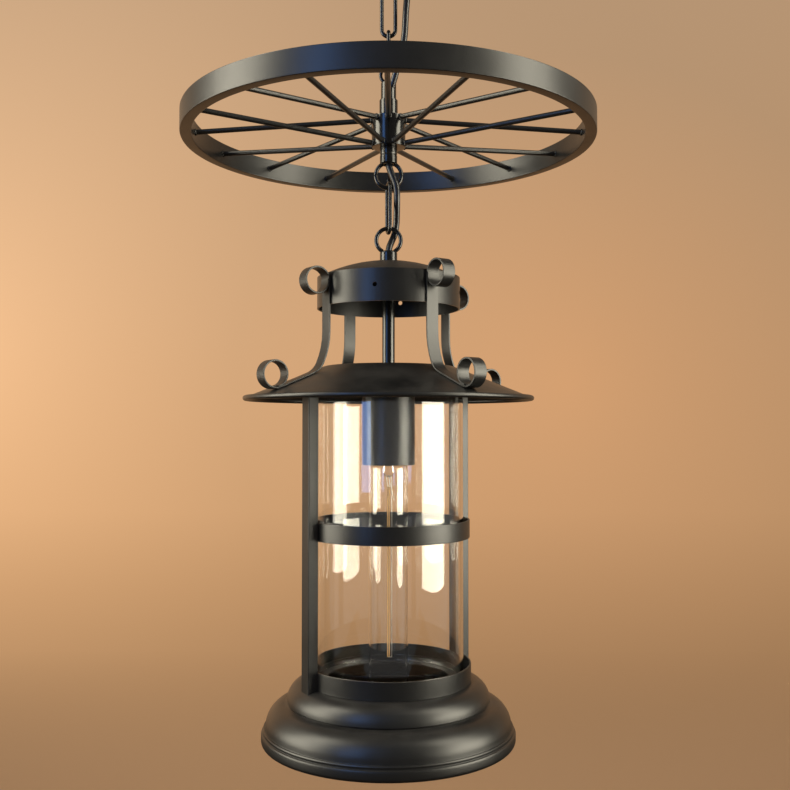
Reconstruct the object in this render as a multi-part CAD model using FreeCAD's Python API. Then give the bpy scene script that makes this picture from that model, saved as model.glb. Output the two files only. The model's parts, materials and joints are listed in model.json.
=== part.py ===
"""Wagon wheel chandelier: a spoked wheel and a glass lantern that hang one below the other on chain.

Millimetres, +Z up.  The origin is the point of the ceiling over the fitting's axis, so all of the
object is below z = 0.  The front of the lantern faces -Y.  An azimuth is counted from the front
towards +X, in degrees.
"""
import FreeCAD
import Part
import math
import os

V = FreeCAD.Vector
ORIGIN = V(0, 0, 0)
UP = V(0, 0, 1)
SIDE = V(1, 0, 0)
AWAY = V(0, 1, 0)

# ---- clearances ----
LINK_GAP = 0.3          # wire to wire where one link hangs in the next
CUT_PAST = 1.0          # a cutter runs this far past the face that it opens
NUT_GAP = 0.5           # nut to the dome's round underside
RUNNING = 0.05          # radial, bulb cap in its screw shell

# ---- ceiling fitting ----
CANOPY_R = 60.0
CANOPY_HEIGHT = 25.0
CANOPY_WALL = 1.2
CANOPY_ROUND = 6.0
BRACKET_WIDTH = 20.0
BRACKET_THICK = 2.0
BRACKET_TAB = 14.0      # height of the tabs that take the canopy's side screws
BRACKET_HOLE_SPACING = 70.0
BRACKET_HOLE_R = 2.6
SIDE_SCREW_R = 2.0
SIDE_SCREW_HEAD_R = 4.0
SIDE_SCREW_HEAD_THICK = 2.4
SIDE_SCREW_LENGTH = 9.0
SIDE_SCREW_DROP = 9.0   # below the ceiling
GRIP_X = 19.0           # cord grip beside the chain loop
GRIP_R = 6.5
GRIP_FLANGE_R = 8.5
GRIP_FLANGE_THICK = 2.0
GRIP_BELOW = 9.0
GRIP_ABOVE = 7.0
BLOCK_LENGTH = 30.0
BLOCK_WIDTH = 16.0
BLOCK_HEIGHT = 11.0
BLOCK_SCREW_R = 1.8
BLOCK_X = -18.0
BLOCK_WAYS = 3
SCREW_SLOT = 1.2
CABLE_END_BARE = 2.0    # cable above the grip, before its cores part
LEAD_R = 1.2
LEAD_RISE = 4.0         # straight run of each core out of the cable
LEAD_SPREAD = 7.0       # the cores' bend beside the cable
LEAD_RUN_IN = 9.0       # straight run of each core into the block

# ---- chain ----
WIRE = 3.9              # chain wire
LINK_WIDTH = 17.2
LONG_LINK = 52.0
SHORT_LINK = 43.0
LINK_3_AZ = 13.0        # the lower link hangs a little turned from edge-on
LINK_SEAM = 0.3         # the unwelded joint in one side of each link

# ---- loops: a ring on a drilled neck ----
LOOP_WIRE = 4.0
CANOPY_RING_D = 29.0
HUB_TOP_RING_D = 19.0
HUB_TOP_RING_WIRE = 3.5
HUB_LOWER_RING_D = 29.0
LANTERN_RING_D = 28.0
CANOPY_NECK_R = 8.5
CANOPY_NECK_HEIGHT = 8.0
CANOPY_RING_SUNK = 6.0
HUB_TOP_NECK_R = 7.5
HUB_TOP_NECK_HEIGHT = 18.0
HUB_TOP_RING_SUNK = 3.0
FINIAL_R = 8.5
FINIAL_HEIGHT = 17.0
FINIAL_RING_SUNK = 4.2
LANTERN_NECK_R = 8.5
LANTERN_NECK_HEIGHT = 10.5
LANTERN_RING_SUNK = 3.5
STUD_R = 5.0            # threaded tube and studs
STUD_BORE_R = 3.7
NUT_FLATS = 15.0
NUT_HEIGHT = 4.0
NECK_EDGE = 0.8
HUB_TOP_NECK_CLOSED = 6.0   # solid head of the neck under the ring
NECK_CABLE_INSET = 4.0  # the free cable starts and ends this deep in a neck
STUD_INSET = 5.0        # threaded stud short of the lower neck's mouth
STUD_DROP = 2.0         # and of the upper tube's end
LANTERN_TUBE_INSET = 6.0

# ---- wheel ----
WHEEL_R = 200.0
RIM_THICK = 11.0
RIM_HEIGHT = 22.0
RIM_ROUND = 1.0
HUB_R = 16.5
HUB_HEIGHT = 30.0
HUB_TUBE_R = 9.0
HUB_TUBE_HEIGHT = 17.0
HUB_EDGE = 1.0
SPOKE_R = 2.5
SPOKE_PAIRS = 8         # as many spokes to the hub's upper end as to its lower end
SPOKE_EDGE = 3.0        # spoke centre from the hub's end face

# ---- lantern top ----
COLLAR_R = 69.3
COLLAR_HEIGHT = 30.0
COLLAR_WALL = 1.6
COLLAR_HOLES = 4
COLLAR_HOLE_R = 2.1
COLLAR_HOLE_DROP = 15.0
COLLAR_HOLE_AZ = -10.0
DOME_HEIGHT = 16.5
DOME_WALL = 1.2
DOME_SKIRT = 6.0
GALLERY_GAP = 55.5      # open height between the collar and the roof
SPACER_R = 6.1
SPACER_BORE_R = 5.1

# ---- straps ----
STRAP_AZ = 35.0         # of the first strap; the others follow evenly
STRAP_WIDTH = 13.0
STRAP_THICK = 2.0
STRAP_TOP_DROPS = (5.0, 13.0, 9.0, 9.0)     # hand-bent top scrolls start this far below the collar's top
STRAP_BEND_R = 70.0
STRAP_BEND_DEG = 25.0
STRAP_FOOT_BEND_R = 20.0
SCROLL_D = 27.5
SCROLL_TURN_DEG = 372.0
SCROLL_PITCH = 2.6      # the scroll closes in by this much in a full turn
SCROLL_STEPS = 6        # arcs in each scroll
LOWER_SCROLL_R = 121.0  # where the strap leaves the roof

# ---- roof ----
ROOF_R = 140.0
ROOF_FLAT_R = 62.0
ROOF_DROP = 31.5
ROOF_WALL = 1.4
ROOF_BEAD_R = 2.5

# ---- lamp ----
CUP_R = 25.5
CUP_HEIGHT = 72.7
CUP_WALL = 1.2
CUP_ROUND = 5.0
CUP_BELOW_ROOF_TOP = 22.5
HOLDER_R = 21.0
HOLDER_HEIGHT = 42.0
HOLDER_TOP_GAP = 9.0
HOLDER_SOCKET = 4.0     # the threaded tube's depth in the lampholder
SHELL_WALL = 0.4
SHELL_LENGTH = 22.0
SHELL_FROM_MOUTH = 3.0
CONTACT_R = 4.0
CONTACT_THICK = 1.0
CAP_R = 13.1
CAP_LENGTH = 21.0
CAP_WALL = 0.5
CAP_TIP_R = 4.5
CAP_TIP_HEIGHT = 2.5
CAP_INSULATOR_HEIGHT = 3.5
CAP_DEPTH = 8.0         # the glass neck's depth in the cap
BULB_R = 18.8
BULB_LENGTH = 273.0     # glass below the cap
BULB_WALL = 0.8
BULB_NECK_LENGTH = 20.0
BULB_NECK_R = 12.4
STEM_R = 4.2
STEM_LENGTH = 26.0
STEM_FLARE_HEIGHT = 5.0
SUPPORT_R = 0.5
SUPPORT_SPREAD = 3.2
FILAMENT_R = 0.9
FILAMENT_LENGTH = 162.0
FILAMENT_BELOW_STEM = 10.0
CAP_TO_CONTACT = 0.3    # tip of the bulb to the holder's contact

# ---- glass and its frame ----
GLASS_R = 72.0
GLASS_WALL = 2.8
GLASS_BELOW_ROOF_TOP = 10.5
BAND_GAP = 4.3          # glass to the band
BAND_WALL = 2.0
BAND_R = GLASS_R + BAND_GAP + BAND_WALL
BAND_HEIGHT = 17.1
BAND_BELOW_ROOF_TOP = 155.8
BAR_AZ = 120.0
BARS = 2
BAR_WIDTH = 15.0
BAR_DEPTH = 10.0
BAR_ROUND = 0.8
LOWER_CUP_PROUD = 1.0   # the cup stands out from the band
LOWER_CUP_R = BAND_R + LOWER_CUP_PROUD
LOWER_CUP_WALL = 1.8
LOWER_CUP_HEIGHT = 17.0
SEAT_LEDGE = 12.0       # the ledge reaches this far in from the glass
SEAT_RING_INNER_R = GLASS_R - SEAT_LEDGE
SEAT_RING_THICK = 1.6
SEAT_LIP_HEIGHT = 5.0
SEAT_LIP_WALL = 1.4
GLASS_SIDE_GAP = 0.4
BASE_BELOW_ROOF_TOP = 300.5
BASE_HEIGHT = 56.0
BASE_WALL = 1.6
BASE_STEP_OUT = 17.7    # first swell's foot, out from the lower cup
BASE_STEP_DROP = 17.5
BASE_COVE = 1.5         # the cove under the first swell
BASE_FLARE = 24.3       # base's widest line, out from the first swell's foot
BASE_FOOT_IN = 2.0      # the foot draws in by this much below the widest line
BASE_FOOT_RISE = 4.0
BASE_BAND_HEIGHT = 5.0
BASE_BEAD = 2.0
BASE_BEAD_HEIGHT = 1.5
BASE_HOLE_GAP = 6.0     # hole under the ledge, out from the ledge's own
BASE_STEP_R = LOWER_CUP_R + BASE_STEP_OUT
BASE_R = BASE_STEP_R + BASE_FLARE
BASE_TOP_HOLE_R = SEAT_RING_INNER_R + BASE_HOLE_GAP

# ---- cable ----
CABLE_R = 3.2
CABLE_ARC_SHARE = 0.45
CABLE_CLEARANCE = 0.4
CABLE_ENTRY = (8.6, -9.0, -132.0)     # where the upper cable turns in to the neck
CABLE_ENTRY_SHARE = 1 / 3              # and how far from its bend inside the neck the free cable ends
CABLE_HUB_BEND = 2.0    # the bend inside the neck, above the tube

# ---- heights worked out from the ceiling down ----
CANOPY_Z = -CANOPY_HEIGHT


def next_top(bottom, wire_above, wire_below):
    """Top of what hangs in a wire whose lowest point is bottom."""
    return bottom + wire_above + LINK_GAP + wire_below


CANOPY_NECK_Z = CANOPY_Z - CANOPY_NECK_HEIGHT
CANOPY_RING_Z = CANOPY_NECK_Z + CANOPY_RING_SUNK - CANOPY_RING_D
LINK_1_TOP = next_top(CANOPY_RING_Z, LOOP_WIRE, WIRE)
LINK_1_Z = LINK_1_TOP - LONG_LINK
LINK_2_TOP = next_top(LINK_1_Z, WIRE, WIRE)
LINK_2_Z = LINK_2_TOP - SHORT_LINK
HUB_RING_TOP = next_top(LINK_2_Z, WIRE, HUB_TOP_RING_WIRE)
HUB_NECK_TOP = HUB_RING_TOP - HUB_TOP_RING_D + HUB_TOP_RING_SUNK
HUB_TUBE_TOP = HUB_NECK_TOP - HUB_TOP_NECK_HEIGHT
HUB_TOP = HUB_TUBE_TOP - HUB_TUBE_HEIGHT
HUB_Z = HUB_TOP - HUB_HEIGHT
WHEEL_Z = (HUB_TOP + HUB_Z) / 2
FINIAL_Z = HUB_Z - FINIAL_HEIGHT
HUB_LOWER_RING_Z = FINIAL_Z + FINIAL_RING_SUNK - HUB_LOWER_RING_D
LINK_3_TOP = next_top(HUB_LOWER_RING_Z, LOOP_WIRE, WIRE)
LINK_3_Z = LINK_3_TOP - LONG_LINK
LANTERN_RING_TOP = next_top(LINK_3_Z, WIRE, LOOP_WIRE)
LANTERN_NECK_TOP = LANTERN_RING_TOP - LANTERN_RING_D + LANTERN_RING_SUNK
DOME_TOP = LANTERN_NECK_TOP - LANTERN_NECK_HEIGHT
COLLAR_TOP = DOME_TOP - DOME_HEIGHT
COLLAR_Z = COLLAR_TOP - COLLAR_HEIGHT
ROOF_TOP = COLLAR_Z - GALLERY_GAP
ROOF_ANGLE = math.atan2(ROOF_DROP, ROOF_R - ROOF_FLAT_R)
SOCKET_TOP = ROOF_TOP - CUP_BELOW_ROOF_TOP
SOCKET_Z = SOCKET_TOP - CUP_HEIGHT
HOLDER_TOP = SOCKET_TOP - HOLDER_TOP_GAP
HOLDER_Z = HOLDER_TOP - HOLDER_HEIGHT
SHELL_Z = HOLDER_Z + SHELL_FROM_MOUTH
SHELL_TOP = SHELL_Z + SHELL_LENGTH
CONTACT_Z = SHELL_TOP - CONTACT_THICK
CAP_TIP_TOP = CONTACT_Z - CAP_TO_CONTACT
CAP_SHELL_TOP = CAP_TIP_TOP - CAP_TIP_HEIGHT - CAP_INSULATOR_HEIGHT
CAP_Z = CAP_SHELL_TOP - CAP_LENGTH
BULB_Z = CAP_Z - BULB_LENGTH
BASE_TOP = ROOF_TOP - BASE_BELOW_ROOF_TOP
BASE_Z = BASE_TOP - BASE_HEIGHT
SEAT_TOP = BASE_TOP + SEAT_RING_THICK
GLASS_TOP = ROOF_TOP - GLASS_BELOW_ROOF_TOP - (GLASS_R - ROOF_FLAT_R) * math.tan(ROOF_ANGLE)
BAND_Z = ROOF_TOP - BAND_BELOW_ROOF_TOP - BAND_HEIGHT / 2
SHELL_BORE_R = CAP_R + RUNNING
STEM_Z = CAP_Z - STEM_LENGTH
FILAMENT_TOP = STEM_Z - STEM_R - FILAMENT_BELOW_STEM
NUT_TOPS = (
    DOME_TOP - DOME_WALL - NUT_GAP,
    ROOF_TOP - ROOF_WALL,
    SOCKET_TOP + NUT_HEIGHT,
    SOCKET_TOP - CUP_WALL,
)
CABLE_TOP = CANOPY_Z + GRIP_ABOVE + CABLE_END_BARE
HUB_BEND = (0.0, 0.0, HUB_TUBE_TOP + CABLE_HUB_BEND)
HUB_CABLE_FOOT = FINIAL_Z + NECK_CABLE_INSET
LANTERN_CABLE_HEAD = LANTERN_NECK_TOP - NECK_CABLE_INSET

# ---- the cable's route, point by point, from the ceiling down ----
UPPER_ROUTE = [
    (GRIP_X, 0.0, CANOPY_Z - GRIP_BELOW),
    (GRIP_X, 0.0, -50.0),
    (16.8, -4.2, -77.0),
    (15.6, -8.4, -104.0),
    CABLE_ENTRY,
    tuple(bend + (entry - bend) * CABLE_ENTRY_SHARE for bend, entry in zip(HUB_BEND, CABLE_ENTRY)),
]
HUB_ROUTE = [
    UPPER_ROUTE[-1],
    HUB_BEND,
    (0.0, 0.0, HUB_CABLE_FOOT),
]
LOWER_ROUTE = [
    (0.0, 0.0, HUB_CABLE_FOOT),
    (0.0, 0.0, -226.5),
    (4.4, -3.6, -238.0),
    (8.0, -6.6, -248.5),
    (8.2, -5.6, -260.5),
    (8.0, -0.6, -272.5),
    (7.6, 4.8, -284.0),
    (5.6, 5.6, -293.5),
    (2.2, 2.6, -301.5),
    (0.0, 0.0, -308.0),
    (0.0, 0.0, LANTERN_CABLE_HEAD),
]


# ---- helpers ----
def at(radius, azimuth, z=0.0):
    """The point at that radius and azimuth."""
    turn = math.radians(azimuth)
    return V(radius * math.sin(turn), -radius * math.cos(turn), z)


def turned(shape, azimuth):
    """A shape made on the +X side, turned about the axis to an azimuth."""
    copy = shape.copy()
    copy.rotate(ORIGIN, UP, azimuth - 90)
    return copy


def line(*points):
    """Straight edges through (r, z) points in the X-Z plane."""
    corners = [V(r, 0, z) for r, z in points]
    return [Part.LineSegment(a, b).toShape() for a, b in zip(corners, corners[1:])]


def quarter(start, end, corner):
    """A round quarter from start to end that bulges towards the corner point."""
    centre = (start[0] + end[0] - corner[0], start[1] + end[1] - corner[1])
    share = math.sqrt(0.5)
    middle = [c + (k - c) * share for c, k in zip(centre, corner)]
    return [Part.Arc(*[V(r, 0, z) for r, z in (start, middle, end)]).toShape()]


def revolved(edges):
    """The solid that a closed half outline sweeps about the axis."""
    return Part.Face(Part.Wire(edges)).revolve(ORIGIN, UP, 360)


def spun(edges, wall):
    """A sheet of revolution inside an open outline that runs from the mouth to the hole at the axis."""
    outside = Part.Wire(edges)
    mouth, hole = edges[0].Vertexes[0].Point, edges[-1].Vertexes[-1].Point
    inner_line = line((hole.x, hole.z), (hole.x, mouth.z), (mouth.x, mouth.z))
    room = Part.Face(Part.Wire(edges + inner_line))
    sheet = outside.makeOffset2D(wall, 2, True).common(room)
    return sheet.Faces[0].revolve(ORIGIN, UP, 360)


def tube(radius, bore, low, high):
    """A straight tube about the axis, or a rod where the bore is zero."""
    rod = Part.makeCylinder(radius, high - low, V(0, 0, low))
    return rod.cut(Part.makeCylinder(bore, high - low, V(0, 0, low))) if bore else rod


def rod_between(start, end, radius):
    way = end - start
    return Part.makeCylinder(radius, way.Length, start, way)


def hexagon(flats, height, top):
    """A nut blank about the axis, drilled for the threaded tube."""
    reach = flats / math.sqrt(3)
    corners = [V(reach * math.cos(k * math.pi / 3), reach * math.sin(k * math.pi / 3), top) for k in range(7)]
    blank = Part.Face(Part.makePolygon(corners)).extrude(V(0, 0, -height))
    return blank.cut(tube(STUD_R, 0, top - height, top))


def largest(shape):
    return max(shape.Solids, key=lambda solid: solid.Volume)


class Outline:
    """A strip's middle line, drawn in the X-Z plane by straight runs and tangent bends."""

    def __init__(self, r, z, heading):
        self.place = V(r, 0, z)
        self.heading = heading
        self.edges = []

    def way(self, turn=0.0):
        angle = math.radians(self.heading + turn)
        return V(math.cos(angle), 0, math.sin(angle))

    def run(self, length):
        end = self.place + self.way() * length
        self.edges.append(Part.LineSegment(self.place, end).toShape())
        self.place = end

    def bend(self, radius, degrees):
        """Turn left by degrees, or right where degrees is negative."""
        side = math.copysign(90, degrees)
        centre = self.place + self.way(side) * radius
        points = [centre - self.way(side + degrees * share) * radius for share in (0, 0.5, 1)]
        self.edges.append(Part.Arc(*points).toShape())
        self.place = points[-1]
        self.heading += degrees

    def scroll(self, diameter, pitch, degrees, steps, side):
        """A curl that closes in by pitch in each full turn."""
        step = degrees / steps
        for index in range(steps):
            self.bend(diameter / 2 - pitch * step * (index + 0.5) / 360 / 2, side * step)


def route_tube(name, points, radius):
    """A round cable along straight runs joined by tangent arcs."""
    corners = [V(*point) for point in points]
    edges = []
    radii = []
    start = corners[0]
    for before, corner, after in zip(corners, corners[1:], corners[2:]):
        back, on = before - corner, after - corner
        half = (math.pi - back.getAngle(on)) / 2
        reach = CABLE_ARC_SHARE * min(back.Length, on.Length)
        radii.append(reach / math.tan(half))
        back.normalize()
        on.normalize()
        enter, leave = corner + back * reach, corner + on * reach
        inward = back + on
        inward.normalize()
        middle = corner + inward * (radii[-1] / math.cos(half) - radii[-1])
        edges.append(Part.LineSegment(start, enter).toShape())
        edges.append(Part.Arc(enter, middle, leave).toShape())
        start = leave
    edges.append(Part.LineSegment(start, corners[-1]).toShape())
    path = Part.Wire(edges)
    section = Part.Wire(Part.makeCircle(radius, corners[0], corners[1] - corners[0]))
    solid = path.makePipeShell([section], True, False)
    share = solid.Volume / (math.pi * radius ** 2 * path.Length)
    print(name, "length", round(path.Length, 1), "volume share", round(share, 4),
          "radii", [round(r, 1) for r in radii])
    return solid


# ---- chain and loops ----
def chain_link(length, top, azimuth):
    """A long round link in an upright plane, with its open seam half way up one side."""
    bend = (LINK_WIDTH - WIRE) / 2
    high = top - LINK_WIDTH / 2
    low = top - length + LINK_WIDTH / 2
    sides = [Part.makeCylinder(WIRE / 2, high - low, V(x, 0, low)) for x in (-bend, bend)]
    section = Part.Face(Part.Wire(Part.makeCircle(WIRE / 2, V(bend, 0, high), UP)))
    top_bow = section.revolve(V(0, 0, high), AWAY * -1, 180)
    section.translate(V(0, 0, low - high))
    low_bow = section.revolve(V(0, 0, low), AWAY, 180)
    whole = sides[0].fuse([sides[1], top_bow, low_bow])
    seam = Part.makeBox(WIRE * 2, WIRE * 2, LINK_SEAM, V(-bend - WIRE, -WIRE, (high + low - LINK_SEAM) / 2))
    return turned(whole.cut(seam).removeSplitter(), azimuth)


def hoop(diameter, wire, low, hole_way):
    """A round wire ring that hangs on the axis; hole_way points through its hole."""
    return Part.makeTorus((diameter - wire) / 2, wire / 2, V(0, 0, low + diameter / 2), hole_way)


def neck(radius, low, high):
    rod = tube(radius, 0, low, high)
    ends = [edge for edge in rod.Edges if len(edge.Vertexes) == 1]
    return rod.makeChamfer(NECK_EDGE, ends)


def make_canopy_loop():
    """Ring, neck and threaded stud in one, edge-on to the front."""
    ring = hoop(CANOPY_RING_D, LOOP_WIRE, CANOPY_RING_Z, SIDE)
    stud = tube(STUD_R, 0, CANOPY_Z, 0.0)
    return ring.fuse([neck(CANOPY_NECK_R, CANOPY_NECK_Z, CANOPY_Z), stud]).removeSplitter()


def make_hub_top_loop():
    """Ring on a tall neck, whose front right side is cut open for the cable."""
    ring = hoop(HUB_TOP_RING_D, HUB_TOP_RING_WIRE, HUB_RING_TOP - HUB_TOP_RING_D, AWAY)
    whole = ring.fuse(neck(HUB_TOP_NECK_R, HUB_TUBE_TOP, HUB_NECK_TOP))
    whole = whole.cut(tube(STUD_R, 0, HUB_TUBE_TOP, HUB_NECK_TOP - HUB_TOP_NECK_CLOSED))
    window = rod_between(V(*HUB_BEND), V(*CABLE_ENTRY), CABLE_R + CABLE_CLEARANCE)
    return whole.cut(window).removeSplitter()


def make_lower_loop(diameter, ring_z, radius, low, high):
    """Ring and neck, drilled right through for the cable and the threaded tube."""
    ring = hoop(diameter, LOOP_WIRE, ring_z, AWAY)
    bore = tube(STUD_R, 0, low - LOOP_WIRE, high + LOOP_WIRE)
    return ring.fuse(neck(radius, low, high)).cut(bore).removeSplitter()


# ---- ceiling fitting ----
def make_canopy():
    rim = (CANOPY_R, 0.0)
    side = (CANOPY_R, CANOPY_Z + CANOPY_ROUND)
    under = (CANOPY_R - CANOPY_ROUND, CANOPY_Z)
    outside = line(rim, side) + quarter(side, under, (CANOPY_R, CANOPY_Z)) + line(under, (STUD_R, CANOPY_Z))
    cup = spun(outside, CANOPY_WALL)
    cup = cup.cut(Part.makeCylinder(GRIP_R, CANOPY_WALL + CUT_PAST, V(GRIP_X, 0, CANOPY_Z)))
    for out in (SIDE, SIDE * -1):
        face = screw_face(out)
        cup = cup.cut(rod_between(face - out * SIDE_SCREW_LENGTH, face + out * CUT_PAST, SIDE_SCREW_R))
    return cup


def screw_face(out):
    """Where a side screw's head meets the canopy."""
    return out * CANOPY_R + V(0, 0, -SIDE_SCREW_DROP)


def make_bracket():
    """Ceiling strap with two bolt holes and turned-down ends for the canopy's side screws."""
    reach = CANOPY_R - CANOPY_WALL
    half = BRACKET_WIDTH / 2
    outside = Part.makeBox(2 * reach, BRACKET_WIDTH, BRACKET_TAB, V(-reach, -half, -BRACKET_TAB))
    outside = outside.common(tube(reach, 0, -BRACKET_TAB, 0.0))
    inside = tube(reach - BRACKET_THICK, 0, -BRACKET_TAB, -BRACKET_THICK)
    strap = outside.cut(inside).cut(tube(STUD_R, 0, -BRACKET_THICK, 0.0))
    for out in (SIDE, SIDE * -1):
        bolt = out * (BRACKET_HOLE_SPACING / 2) + V(0, 0, -BRACKET_THICK)
        strap = strap.cut(Part.makeCylinder(BRACKET_HOLE_R, BRACKET_THICK, bolt))
        face = screw_face(out)
        strap = strap.cut(rod_between(face - out * SIDE_SCREW_LENGTH, face, SIDE_SCREW_R))
    return strap


def make_side_screws():
    screws = []
    for out in (SIDE, SIDE * -1):
        face = screw_face(out)
        head = Part.makeCylinder(SIDE_SCREW_HEAD_R, SIDE_SCREW_HEAD_THICK, face, out)
        slot = Part.makeBox(SCREW_SLOT, 2 * SIDE_SCREW_HEAD_R, SCREW_SLOT)
        slot.translate(face + out * SIDE_SCREW_HEAD_THICK - V(SCREW_SLOT / 2, SIDE_SCREW_HEAD_R, SCREW_SLOT / 2))
        shank = rod_between(face - out * SIDE_SCREW_LENGTH, face, SIDE_SCREW_R)
        screws.append(head.fuse(shank).cut(slot).removeSplitter())
    return Part.makeCompound(screws)


def make_cord_grip():
    """Plastic bush that clamps the cable where it enters the canopy."""
    barrel = tube(GRIP_R, 0, CANOPY_Z - GRIP_BELOW, CANOPY_Z + GRIP_ABOVE)
    flange = tube(GRIP_FLANGE_R, 0, CANOPY_Z - GRIP_FLANGE_THICK, CANOPY_Z)
    bore = tube(CABLE_R + CABLE_CLEARANCE, 0, CANOPY_Z - GRIP_BELOW, CANOPY_Z + GRIP_ABOVE)
    grip = barrel.fuse(flange).cut(bore).removeSplitter()
    grip.translate(V(GRIP_X, 0, 0))
    return grip


def make_terminal_block():
    corner = V(BLOCK_X - BLOCK_WIDTH / 2, -BLOCK_LENGTH / 2, -BRACKET_THICK - BLOCK_HEIGHT)
    block = Part.makeBox(BLOCK_WIDTH, BLOCK_LENGTH, BLOCK_HEIGHT, corner)
    for way in range(BLOCK_WAYS):
        place = corner + V(BLOCK_WIDTH / 2, BLOCK_LENGTH * (way + 0.5) / BLOCK_WAYS, 0)
        block = block.cut(Part.makeCylinder(BLOCK_SCREW_R, BLOCK_HEIGHT / 2, place))
    return block


def make_canopy_leads():
    """Two cores from the cable's end to the terminal block."""
    leads = []
    for side in (-1, 1):
        start = (GRIP_X, side * LEAD_R, CABLE_TOP)
        block_face = BLOCK_X + BLOCK_WIDTH / 2
        level = -BRACKET_THICK - BLOCK_HEIGHT / 2
        row = side * BLOCK_LENGTH / BLOCK_WAYS
        route = [start, (GRIP_X, side * LEAD_R, CABLE_TOP + LEAD_RISE),
                 (GRIP_X - LEAD_SPREAD, side * LEAD_SPREAD, level),
                 (block_face + LEAD_RUN_IN, row, level), (block_face, row, level)]
        leads.append(route_tube("canopy lead", route, LEAD_R))
    return Part.makeCompound(leads)


# ---- wheel ----
def make_rim():
    """A flat ring with rounded edges."""
    low, high = WHEEL_Z - RIM_HEIGHT / 2, WHEEL_Z + RIM_HEIGHT / 2
    inner = WHEEL_R - RIM_THICK
    band = revolved(line((inner, low), (WHEEL_R, low), (WHEEL_R, high), (inner, high), (inner, low)))
    edges = [edge for edge in band.Edges if edge.Curve.TypeId == "Part::GeomCircle"]
    return band.makeFillet(RIM_ROUND, edges)


def make_hub_body():
    """Turned hub: a thick barrel with a thinner tube above it, drilled for the threaded tube."""
    barrel = tube(HUB_R, 0, HUB_Z, HUB_TOP)
    ends = [edge for edge in barrel.Edges if len(edge.Vertexes) == 1]
    barrel = barrel.makeChamfer(HUB_EDGE, ends)
    whole = barrel.fuse(tube(HUB_TUBE_R, 0, HUB_TOP, HUB_TUBE_TOP))
    return whole.cut(tube(STUD_R, 0, HUB_Z, HUB_TUBE_TOP)).removeSplitter()


def make_spokes(hub_z, first_azimuth, hub, rim):
    """Every second spoke: these share one end of the hub and meet the rim half way up."""
    spokes = []
    for index in range(SPOKE_PAIRS):
        azimuth = first_azimuth + 360 / SPOKE_PAIRS * index
        inner_end = at(HUB_R - SPOKE_R, azimuth, hub_z)
        outer_end = at(WHEEL_R - RIM_THICK / 2, azimuth, WHEEL_Z)
        rod = rod_between(inner_end, outer_end, SPOKE_R)
        spokes.append(largest(rod.cut(hub).cut(rim).cut(tube(HUB_R, 0, HUB_Z, HUB_TOP))))
    return Part.makeCompound(spokes)


# ---- lantern top ----
def dome_edges(radius, low, high):
    """A shallow dome's outline from its edge to the hole at the top."""
    rise = high - low
    ball = (radius ** 2 + rise ** 2) / (2 * rise)

    def point(r):
        return V(r, 0, high - ball + math.sqrt(ball ** 2 - r ** 2))

    return [Part.Arc(point(radius), point((radius + STUD_R) / 2), point(STUD_R)).toShape()]


def make_dome():
    """Domed cap whose short skirt sits inside the collar."""
    radius = COLLAR_R - COLLAR_WALL
    skirt = line((radius, COLLAR_TOP - DOME_SKIRT), (radius, COLLAR_TOP))
    return spun(skirt + dome_edges(radius, COLLAR_TOP, DOME_TOP), DOME_WALL)


def make_collar():
    collar = tube(COLLAR_R, COLLAR_R - COLLAR_WALL, COLLAR_Z, COLLAR_TOP)
    for index in range(COLLAR_HOLES):
        azimuth = COLLAR_HOLE_AZ + 360 / COLLAR_HOLES * index
        height = COLLAR_TOP - COLLAR_HOLE_DROP
        inner, outer = COLLAR_R - COLLAR_WALL - CUT_PAST, COLLAR_R + CUT_PAST
        collar = collar.cut(rod_between(at(inner, azimuth, height), at(outer, azimuth, height), COLLAR_HOLE_R))
    return collar


def make_strap(azimuth, top_drop):
    """Flat strap from a scroll on the collar, down over the roof's edge to a scroll near its rim."""
    middle = COLLAR_R + STRAP_THICK / 2
    slope = math.degrees(ROOF_ANGLE)
    start_z = COLLAR_TOP - top_drop
    upper = Outline(middle, start_z, 90)
    upper.scroll(SCROLL_D - STRAP_THICK, SCROLL_PITCH, SCROLL_TURN_DEG, SCROLL_STEPS, -1)

    foot = 90 - slope - STRAP_BEND_DEG
    bends = Outline(middle, 0, -90)     # the two bends alone, which show where the strip lands
    bends.bend(STRAP_BEND_R, STRAP_BEND_DEG)
    bends.bend(STRAP_FOOT_BEND_R, foot)
    landing = bends.place
    lower = Outline(middle, start_z, -90)
    lower.run(start_z - roof_height(landing.x) - STRAP_THICK / 2 / math.cos(ROOF_ANGLE) + landing.z)
    lower.bend(STRAP_BEND_R, STRAP_BEND_DEG)
    lower.bend(STRAP_FOOT_BEND_R, foot)
    lower.run((LOWER_SCROLL_R - landing.x) / math.cos(ROOF_ANGLE))
    lower.scroll(SCROLL_D - STRAP_THICK, SCROLL_PITCH, SCROLL_TURN_DEG, SCROLL_STEPS, 1)

    path = Part.Wire(Part.__sortEdges__(upper.edges[::-1] + lower.edges))
    across = upper.way(90) * (STRAP_THICK / 2)
    wide = AWAY * (STRAP_WIDTH / 2)
    end = upper.place
    section = Part.makePolygon([end + across + wide, end + across - wide, end - across - wide,
                                end - across + wide, end + across + wide])
    return turned(path.makePipeShell([section], True, False), azimuth)


# ---- roof ----
def roof_height(radius):
    """Height of the roof's upper face on its slope."""
    return ROOF_TOP - (radius - ROOF_FLAT_R) * math.tan(ROOF_ANGLE)


def make_roof():
    """Spun hat: flat crown, sloping brim and a rolled bead at the rim."""
    rim = ROOF_R - ROOF_BEAD_R
    outside = line((rim, roof_height(rim)), (ROOF_FLAT_R, ROOF_TOP), (STUD_R, ROOF_TOP))
    sheet = spun(outside, ROOF_WALL)
    bead = Part.makeTorus(rim, ROOF_BEAD_R, V(0, 0, roof_height(rim) - ROOF_WALL / 2))
    return sheet.fuse(bead).removeSplitter()


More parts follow.
